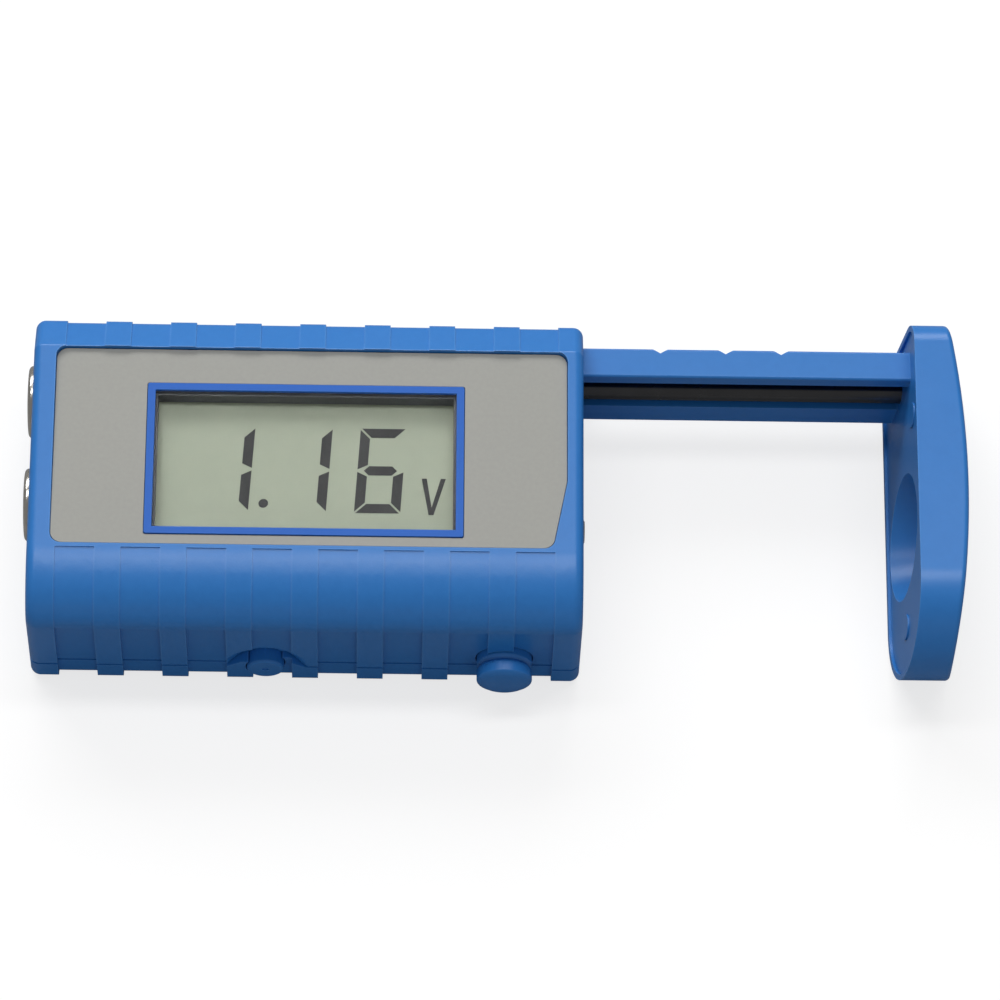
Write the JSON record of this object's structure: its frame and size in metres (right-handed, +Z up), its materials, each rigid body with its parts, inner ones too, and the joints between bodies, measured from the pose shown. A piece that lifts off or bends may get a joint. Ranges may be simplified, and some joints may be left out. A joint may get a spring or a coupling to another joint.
{
  "type": "battery tester",
  "caption": "Hand-held battery tester: a ribbed split case with a display window, press buttons and end contacts, and a sliding arm with a contact rod that clamps a cell.",
  "frame": {"origin": "middle of the case's flat underside", "axes": "+X along the case towards the sliding arm, +Y to the back where the rail runs, +Z up out of the display"},
  "size_m": [0.1413, 0.0546, 0.0251],
  "materials": {
    "case_blue": "fine-grained moulded blue plastic",
    "faceplate_grey": "satin grey printed film",
    "bezel_blue": "smooth mid-blue frame",
    "lens_clear": "clear window",
    "carrier_dark": "dark grey plastic",
    "lcd_glass": "grey-green display",
    "elastomer": "striped contact rubber",
    "board_green": "solder-masked board",
    "resin_black": "black resin",
    "resistor_ceramic": "beige lacquer",
    "trimmer_blue": "blue trimmer",
    "zinc_steel": "zinc-plated steel",
    "nickel": "nickel-plated spring steel",
    "rod_steel": "drawn steel rod",
    "spring_brass": "spring brass"
  },
  "bodies": {
    "case": {"top_shell": "case_blue", "bottom_shell": "case_blue", "faceplate": "faceplate_grey", "display_bezel": "bezel_blue", "display_lens": "lens_clear", "lcd_carrier": "carrier_dark", "lcd_panel": "lcd_glass", "zebra_strips": "elastomer", "circuit_board": "board_green", "switch_board": "board_green", "chip_blob": "resin_black", "filter_capacitor": "resin_black", "test_switch": "resin_black", "hold_switch": "resin_black", "load_resistor": "resistor_ceramic", "calibration_trimmer": "trimmer_blue", "board_screws": "zinc_steel", "case_screws": "zinc_steel", "nine_volt_contact_front": "nickel", "nine_volt_contact_back": "nickel", "cell_negative_contact": "nickel", "rod_brush": "spring_brass", "detent_leaf": "spring_brass"},
    "arm": {"slide_arm": "case_blue", "arm_end_cap": "case_blue", "cell_positive_contact": "nickel", "contact_rod": "rod_steel"},
    "test_button": {"test_button": "case_blue"},
    "hold_button": {"hold_button": "case_blue"}
  },
  "joints": [
    {"name": "arm_slide", "type": "slide", "parent": "case", "child": "arm", "axis": [1, 0, 0], "range_m": [-0.045, 0.017]},
    {"name": "test_press", "type": "slide", "parent": "case", "child": "test_button", "axis": [0, 1, 0], "range_m": [0, 0.0012], "stiffness_N_per_m": 800},
    {"name": "hold_press", "type": "slide", "parent": "case", "child": "hold_button", "axis": [0, 1, 0], "range_m": [0, 0.0008], "stiffness_N_per_m": 800}
  ]
}
